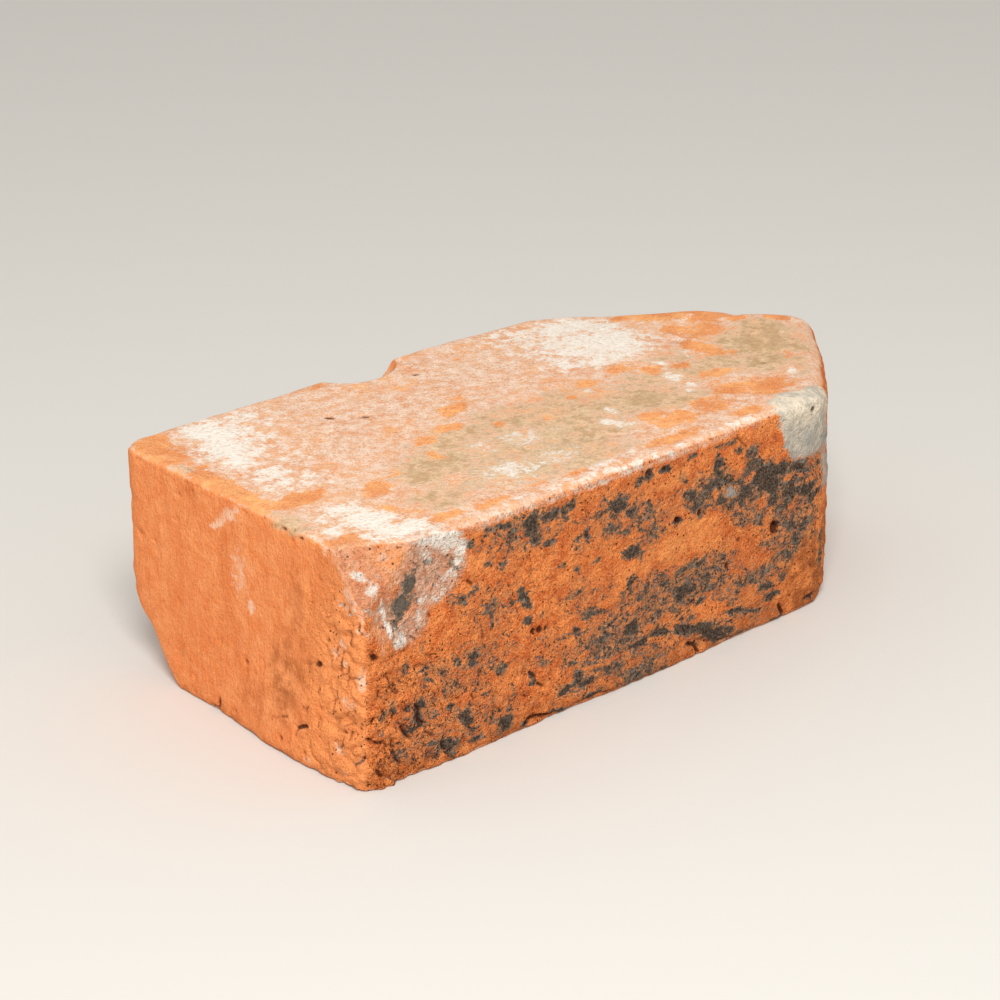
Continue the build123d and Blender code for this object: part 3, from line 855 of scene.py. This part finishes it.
def surface_layers(place, share):
    """Every stain and film as a cover from 0 to 1 at each vertex, the painted shade low near the floor and
    in the hollows, and the hollows.
    """
    along, across, up = place.T
    from_front = (along - FRONT_SIDE + across) * HALF
    from_rear = (along - REAR_SIDE - across + WIDTH) * HALF
    reads = along, across, up, from_front, from_rear
    ragged = 0.24 * fractal(place, 4, 331, 2) + 0.16 * fractal(place, 1.9, 332, 1)
    broad = 0.26 * fractal(place, 10, 333, 3, 0.6) + 0.7 * ragged
    layers = top_layers(place, share, reads, ragged, broad)
    layers.update(side_layers(place, share, reads, ragged, broad))
    layers["soot"] = soot_layer(place, share, reads, ragged)
    layers["lime"] = lime_layer(place, share, reads, broad)
    layers["mortar"] = mortar_layer(place, share, reads, ragged)
    layers["broken"] = broken_places(place, reads)
    layers["rugged"] = rugged_places(share, reads, layers)
    depth = hollow_depth(share, reads)
    # Painted shade inside the pits and cracks, fuller where they are deeper
    layers["pit_shade"] = np.clip(depth / 1.1, 0, 1)
    return layers, depth


def thinned(piece):
    """Takes out triangles where the surface is plain, sparing the front and the end."""
    mesh = piece.data
    away = read_normals(mesh) @ np.array((-0.6, -0.8, 0.0))
    plain = piece.vertex_groups.new(name="plain")
    plain.add([int(i) for i in np.flatnonzero(away < 0.45)], 1.0, "REPLACE")
    fewer = piece.modifiers.new("fewer", "DECIMATE")
    fewer.vertex_group = "plain"
    fewer.ratio = MOST_TRIANGLES / sum(len(face.vertices) - 2 for face in mesh.polygons)
    graph = bpy.context.evaluated_depsgraph_get()
    piece.data = bpy.data.meshes.new_from_object(piece.evaluated_get(graph))
    piece.modifiers.clear()
    piece.vertex_groups.clear()
    piece.data.name = mesh.name
    bpy.data.meshes.remove(mesh)
    return piece


def build_brick():
    """The brick's visible mesh, with its relief, its stain layers and its painted shade layers."""
    piece = dense_copy()
    mesh = piece.data
    share = face_shares(read_normals(mesh))
    place = lost_flakes(worn_arrises(read_places(mesh)))
    layers, depth = surface_layers(place, share)
    out = shape_relief(place, share, layers) - depth
    place = bent(place)
    write_places(mesh, place)
    place = place + read_normals(mesh) * out[:, None]
    place[:, 2] = np.maximum(place[:, 2], 0)
    write_places(mesh, place)
    for name, values in layers.items():
        store = mesh.attributes.new(name, "FLOAT", "POINT")
        store.data.foreach_set("value", np.clip(values, 0, 1).astype(np.float32))
    return thinned(piece)


class Nodes:
    """Short ways to add shader nodes and join them."""

    def __init__(self, name):
        self.material = bpy.data.materials.new(name)
        self.material.use_nodes = True
        self.tree = self.material.node_tree
        self.tree.nodes.clear()
        self.shader = self.tree.nodes.new("ShaderNodeBsdfPrincipled")
        out = self.tree.nodes.new("ShaderNodeOutputMaterial")
        self.join(self.shader.outputs[0], out.inputs[0])
        self.place = self.tree.nodes.new("ShaderNodeTexCoord").outputs["Object"]

    def join(self, source, target):
        """Links one socket to another."""
        self.tree.links.new(source, target)

    def put(self, value, socket):
        """Gives a socket a link or a plain value."""
        if isinstance(value, bpy.types.NodeSocket):
            self.join(value, socket)
        else:
            socket.default_value = value

    def layer(self, name):
        """One of the mesh's stain and painted shade layers."""
        node = self.tree.nodes.new("ShaderNodeAttribute")
        node.attribute_name = name
        return node.outputs["Fac"]

    def height(self):
        """Height above the floor in metres."""
        node = self.tree.nodes.new("ShaderNodeSeparateXYZ")
        self.join(self.place, node.inputs[0])
        return node.outputs["Z"]

    def noise(self, size_mm, detail=3.0, rough=0.6, away=0.0, twist=0.0):
        """Noise with blobs this many millimetres apart, read this far away in metres."""
        size = size_mm if isinstance(size_mm, tuple) else (size_mm, size_mm, size_mm)
        shift = self.tree.nodes.new("ShaderNodeVectorMath")
        shift.operation = "MULTIPLY_ADD"
        self.join(self.place, shift.inputs[0])
        shift.inputs[1].default_value = [1000 / value for value in size]
        shift.inputs[2].default_value = (away * 100, away * 70, away * 40)
        node = self.tree.nodes.new("ShaderNodeTexNoise")
        self.join(shift.outputs[0], node.inputs["Vector"])
        node.inputs["Scale"].default_value = 1.0
        node.inputs["Detail"].default_value = detail
        node.inputs["Roughness"].default_value = rough
        node.inputs["Distortion"].default_value = twist
        return node.outputs["Fac"]

    def specks(self, apart_mm):
        """Distance to the nearest of many scattered points, in cells."""
        node = self.tree.nodes.new("ShaderNodeTexVoronoi")
        self.join(self.place, node.inputs["Vector"])
        node.inputs["Scale"].default_value = 1000 / apart_mm
        return node.outputs["Distance"]

    def math(self, kind, a, b=0.0):
        """One sum on links or plain values."""
        node = self.tree.nodes.new("ShaderNodeMath")
        node.operation = kind
        self.put(a, node.inputs[0])
        self.put(b, node.inputs[1])
        return node.outputs[0]

    def rise(self, value, start, end, low=0.0, high=1.0):
        """A smooth rise from low to high as the value goes from start to end."""
        node = self.tree.nodes.new("ShaderNodeMapRange")
        node.interpolation_type = "SMOOTHSTEP"
        self.put(value, node.inputs["Value"])
        self.put(start, node.inputs["From Min"])
        self.put(end, node.inputs["From Max"])
        node.inputs["To Min"].default_value = low
        node.inputs["To Max"].default_value = high
        return node.outputs["Result"]

    def mix(self, share, a, b):
        """The first colour where the share is 0 and the second where it is 1."""
        node = self.tree.nodes.new("ShaderNodeMix")
        node.data_type = "RGBA"
        self.put(share, node.inputs["Factor"])
        first, second, colour = 6, 7, 2
        self.put(a, node.inputs[first])
        self.put(b, node.inputs[second])
        return node.outputs[colour]

    def spread(self, layer, even, soft):
        """Covers the share of the surface that the layer asks for, in ragged blots."""
        start = self.math("SUBTRACT", 1.0, self.times(layer, 1 + 2 * soft))
        end = self.math("ADD", start, 2 * soft)
        return self.rise(even, start, end)

    def blots(self, large, small, share):
        """Two noises added in a given share, and spread about evenly from 0 to 1."""
        large = self.math("MULTIPLY", large, 1 - share)
        both = self.math("ADD", large, self.math("MULTIPLY", small, share))
        return self.rise(both, 0.36, 0.64)

    def times(self, a, b):
        """One value times another."""
        return self.math("MULTIPLY", a, b)

    def less(self, value, name, left):
        """The value, brought down to this share of it where the named layer is full."""
        return self.times(value, self.rise(self.layer(name), 0.0, 1.0, 1.0, left))


def bare_clay(n, fleck, grain, fine):
    """The clay's colour: smooth and even on the square end, blotchy elsewhere, with painted shade in the
    bump's small dents and low near the floor, and painted highlight on its small rises.
    """
    blotchy = n.mix(n.rise(fleck, 0.34, 0.62), srgb(224, 110, 50), srgb(255, 150, 80))
    plain = n.mix(n.rise(fleck, 0.3, 0.7), srgb(243, 140, 80), srgb(253, 162, 102))
    sunny = n.mix(n.rise(fleck, 0.36, 0.64), srgb(246, 160, 95), srgb(255, 183, 116))
    clay = n.mix(n.layer("smooth"), blotchy, plain)
    clay = n.mix(n.layer("flat_top"), clay, sunny)
    patchy = n.rise(n.noise((16, 16, 34), 3, 0.6, 1), 0.42, 0.64, 0, 0.5)
    clay = n.mix(patchy, clay, n.mix(n.layer("smooth"), srgb(216, 120, 66), srgb(230, 124, 66)))
    clay = n.mix(n.times(n.layer("crumb"), 0.8), clay, srgb(250, 158, 96))
    glow = n.times(n.layer("glow"), n.rise(fleck, 0.3, 0.62))
    clay = n.mix(n.times(glow, 0.85), clay, srgb(255, 162, 92))
    rough = n.less(n.rise(glow, 0.0, 0.6, 1.0, 0.6), "smooth", 0.45)
    rough = n.less(n.less(rough, "flat_top", 0.7), "crumb", 0.5)
    # Darker flecks where the bump sinks and lighter ones where it rises: grain, and also painted shade in
    # the dents and painted highlight on the rises
    dark = n.times(n.rise(grain, 0.54, 0.74, 0, 0.3), rough)
    clay = n.mix(dark, clay, srgb(168, 80, 38))
    light = n.times(n.rise(fine, 0.44, 0.26, 0, 0.4), rough)
    clay = n.mix(light, clay, srgb(255, 192, 134))
    dark = n.times(n.rise(fine, 0.58, 0.68, 0, 0.6), rough)
    clay = n.mix(dark, clay, srgb(150, 70, 32))
    grit = n.noise(0.36, 1, 0.5, 15)
    clay = n.mix(n.times(n.rise(grit, 0.56, 0.66, 0, 0.45), rough), clay, srgb(126, 56, 26))
    clay = n.mix(n.times(n.rise(grit, 0.44, 0.34, 0, 0.26), rough), clay, srgb(255, 196, 138))
    streak = n.noise((7, 1.6, 22), 2, 0.6, 9)
    streak = n.times(n.rise(streak, 0.54, 0.74, 0, 0.3), n.layer("smooth"))
    clay = n.mix(streak, clay, srgb(206, 108, 58))
    # Brown places, and the painted shade low near the floor, darken the clay here
    brown = n.times(n.layer("brown"), n.rise(fleck, 0.7, 0.3))
    return n.mix(brown, clay, srgb(158, 92, 48))


def sooted(n, clay, spotty, grain, fine, broken):
    """Brown smoke round the soot, then the soot itself in fine blots."""
    smoke = n.spread(n.layer("soot"), n.blots(spotty, grain, 0.3), 0.6)
    clay = n.mix(n.times(smoke, 0.68), clay, srgb(152, 120, 90))
    burnt = n.blots(n.noise((2.8, 2.3, 2.0), 4, 0.75, 12, 0.9), n.noise(0.8, 2, 0.6, 13), 0.34)
    soot = n.spread(n.times(n.math("POWER", n.layer("soot"), 1.2), 0.95), burnt, 0.13)
    grey = n.mix(n.rise(spotty, 0.36, 0.62), srgb(138, 128, 114), srgb(90, 85, 77))
    black = n.mix(n.rise(fine, 0.36, 0.64), srgb(96, 88, 78), srgb(38, 35, 32))
    core = n.rise(n.layer("soot"), 0.78, 0.96, 0.0, 0.24)
    tone = n.mix(n.rise(n.math("ADD", grain, core), 0.39, 0.61), grey, black)
    tone = n.mix(n.times(broken, 0.4), tone, srgb(124, 117, 106))
    return n.mix(n.times(soot, 0.92), clay, tone)


def filmed(n, layer, uneven, swing):
    """A film about as thick as its layer says, and a little uneven."""
    swung = n.times(n.math("SUBTRACT", uneven, 0.5), swing)
    return n.times(n.rise(n.math("ADD", layer, swung), 0.08, 0.92), n.rise(layer, 0.0, 0.2))


def films(n, clay, spotty, grain, fine, broken):
    """Pinkish dust, olive film and white lime over the clay."""
    film = n.noise(7.0, 4, 0.65, 4)
    chalk = n.noise(3.6, 4, 0.72, 5)
    bare = n.spread(n.layer("bare"), n.blots(spotty, film, 0.4), 0.4)
    shown = n.rise(bare, 0.0, 1.0, 1.0, 0.07)
    veil = filmed(n, n.layer("veil"), n.blots(film, chalk, 0.5), 0.4)
    veil_tone = n.mix(n.rise(chalk, 0.35, 0.65), srgb(229, 184, 152), srgb(245, 218, 196))
    veil_tone = n.mix(n.rise(fine, 0.5, 0.68, 0, 0.7), veil_tone, srgb(196, 142, 104))
    clay = n.mix(n.times(n.times(veil, 0.92), shown), clay, veil_tone)
    olive = filmed(n, n.layer("olive"), n.blots(chalk, film, 0.5), 0.7)
    olive_tone = n.mix(n.rise(chalk, 0.38, 0.62), srgb(234, 208, 170), srgb(198, 158, 114))
    olive_tone = n.mix(n.rise(grain, 0.46, 0.66, 0, 0.5), olive_tone, srgb(182, 142, 100))
    thick = n.rise(n.math("ADD", n.layer("olive"), n.times(film, 0.9)), 1.16, 1.4)
    olive_tone = n.mix(n.times(thick, 0.55), olive_tone, srgb(188, 150, 106))
    clay = n.mix(n.times(n.times(olive, 0.9), shown), clay, olive_tone)
    lime = n.spread(n.times(n.layer("lime"), 0.94), n.blots(chalk, grain, 0.4), 0.34)
    lime_tone = n.mix(n.rise(grain, 0.44, 0.7), srgb(249, 240, 227), srgb(230, 212, 192))
    edge = n.rise(n.math("ADD", n.layer("flat_top"), broken), 0.9, 0.2, 0, 0.7)
    lime_tone = n.mix(edge, lime_tone, srgb(206, 194, 176))
    return n.mix(n.times(lime, 0.93), clay, lime_tone)


def pins_and_nicks(n):
    """Small round holes, and small ragged ones, fewer where the clay is smooth."""
    pin = n.rise(n.specks(1.8), 0.22, 0.1)
    pin = n.times(pin, n.rise(n.noise(6, 2, 0.5, 6), 0.46, 0.56))
    start = n.math("SUBTRACT", 0.7, n.times(n.layer("rugged"), 0.12))
    nick = n.rise(n.noise((1.2, 1.2, 1.7), 4, 0.78, 11), start, n.math("ADD", start, 0.03))
    holes = n.math("MAXIMUM", pin, nick)
    holes = n.times(holes, n.rise(n.layer("flat_top"), 0.3, 1.0, 1.0, 0.3))
    return n.less(holes, "smooth", 0.12)


def mortared(n, clay, fleck, grain):
    """Grey mortar over the clay, paler toward the top."""
    mortar = n.spread(n.layer("mortar"), n.blots(fleck, grain, 0.4), 0.4)
    low = n.mix(n.rise(fleck, 0.38, 0.62), srgb(194, 182, 165), srgb(164, 158, 149))
    upper = n.mix(n.rise(fleck, 0.4, 0.66), srgb(232, 216, 192), srgb(190, 181, 165))
    tone = n.mix(n.rise(n.height(), 0.054, 0.064), low, upper)
    tone = n.mix(n.rise(grain, 0.48, 0.72, 0, 0.5), tone, srgb(150, 142, 130))
    return n.mix(mortar, clay, tone)


def add_tooth(n, spotty, grain, fine, holes):
    """Fine bumps in the clay, calmer where it is smooth or covered."""
    tooth = n.math("ADD", n.times(grain, 0.7), n.times(fine, 0.5))
    tooth = n.math("ADD", n.times(spotty, 0.7), tooth)
    drag = n.times(n.noise((0.7, 0.7, 2.4), 2, 0.65, 14), n.layer("smooth"))
    tooth = n.math("ADD", n.times(drag, 0.6), tooth)
    tooth = n.math("ADD", n.times(holes, 0.5), tooth)
    calm = n.less(n.rise(n.layer("smooth"), 0.0, 1.0, 1.0, 0.45), "flat_top", 0.5)
    calm = n.less(n.less(calm, "mortar", 0.7), "crumb", 0.6)
    bump = n.tree.nodes.new("ShaderNodeBump")
    bump.invert = True
    bump.inputs["Distance"].default_value = 0.0022
    n.put(calm, bump.inputs["Strength"])
    n.put(tooth, bump.inputs["Height"])
    n.join(bump.outputs[0], n.shader.inputs["Normal"])


def clay_material():
    """Fired clay with soot, films, lime and mortar where the layers put them, and painted shade in its holes
    and dents.
    """
    n = Nodes("fired_clay")
    fleck = n.noise(4.5, 4, 0.62, 2)
    grain = n.noise(1.3, 2, 0.65, 3)
    fine = n.noise(0.62, 2, 0.6, 8)
    spotty = n.noise(2.9, 4, 0.72, 7)
    clay = bare_clay(n, fleck, grain, fine)
    pale = n.spread(n.layer("pale"), n.blots(spotty, grain, 0.3), 0.6)
    clay = n.mix(n.times(pale, 0.85), clay, srgb(250, 204, 172))
    broken = n.layer("broken")
    ash = n.mix(n.rise(grain, 0.35, 0.65), srgb(228, 180, 152), srgb(180, 134, 108))
    clay = n.mix(n.times(broken, n.rise(fleck, 0.34, 0.58, 0.5, 0.95)), clay, ash)
    clay = sooted(n, clay, spotty, grain, fine, broken)
    holes = pins_and_nicks(n)
    # Painted shade in the small round and ragged holes, which the bump also sinks
    clay = n.mix(n.times(holes, 0.88), clay, srgb(74, 34, 18))
    clay = films(n, clay, spotty, grain, fine, broken)
    clay = mortared(n, clay, fleck, grain)
    # Painted shade inside the pits and cracks
    clay = n.mix(n.times(n.rise(n.layer("pit_shade"), 0.3, 0.9), 0.9), clay, srgb(66, 28, 14))
    n.put(clay, n.shader.inputs["Base Color"])
    n.shader.inputs["Roughness"].default_value = 0.9
    n.shader.inputs["Specular IOR Level"].default_value = 0.1
    add_tooth(n, spotty, grain, fine, holes)
    return n.material


def floor_material():
    """Plain pale floor."""
    n = Nodes("pale_floor")
    n.shader.inputs["Base Color"].default_value = srgb(222, 218, 211)
    n.shader.inputs["Roughness"].default_value = 0.9
    n.shader.inputs["Specular IOR Level"].default_value = 0.1
    return n.material


def add_floor():
    """A plain floor that reaches past every view."""
    mesh = bpy.data.meshes.new("floor")
    far = FLOOR_REACH
    corners = [(-far, -far, 0), (far, -far, 0), (far, far, 0), (-far, far, 0)]
    mesh.from_pydata(corners, [], [(0, 1, 2, 3)])
    floor = bpy.data.objects.new("floor", mesh)
    bpy.context.scene.collection.objects.link(floor)
    mesh.materials.append(floor_material())


def add_lamp():
    """A square soft lamp aimed at the middle of the brick."""
    data = bpy.data.lights.new("key", "AREA")
    data.energy = LAMP_POWER
    data.size = LAMP_SIZE
    lamp = bpy.data.objects.new("key", data)
    lamp.location = LAMP_PLACE
    aim = Vector(LAMP_AIM) - Vector(LAMP_PLACE)
    lamp.rotation_euler = aim.to_track_quat("-Z", "Y").to_euler()
    bpy.context.scene.collection.objects.link(lamp)


def add_light():
    """Plain soft studio light: an even sky and one large lamp from the left."""
    world = bpy.data.worlds.new("studio")
    world.use_nodes = True
    sky = world.node_tree.nodes["Background"]
    sky.inputs["Color"].default_value = (1.0, 0.99, 0.97, 1)
    sky.inputs["Strength"].default_value = SKY_STRENGTH
    bpy.context.scene.world = world
    add_lamp()


def add_camera():
    """The photograph's viewpoint."""
    data = bpy.data.cameras.new("camera")
    data.sensor_width = 36
    data.lens = EYE_LENS
    data.clip_start = 0.01
    camera = bpy.data.objects.new("camera", data)
    camera.location = EYE
    turn = math.radians(90 - EYE_DOWN), 0, math.radians(EYE_TURN)
    camera.rotation_euler = turn
    bpy.context.scene.collection.objects.link(camera)
    bpy.context.scene.camera = camera


add_camera()
add_light()
add_floor()
brick = build_brick()
brick.data.materials.append(clay_material())
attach(brick, "root")
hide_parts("brick")
bpy.context.scene.view_settings.view_transform = "Standard"
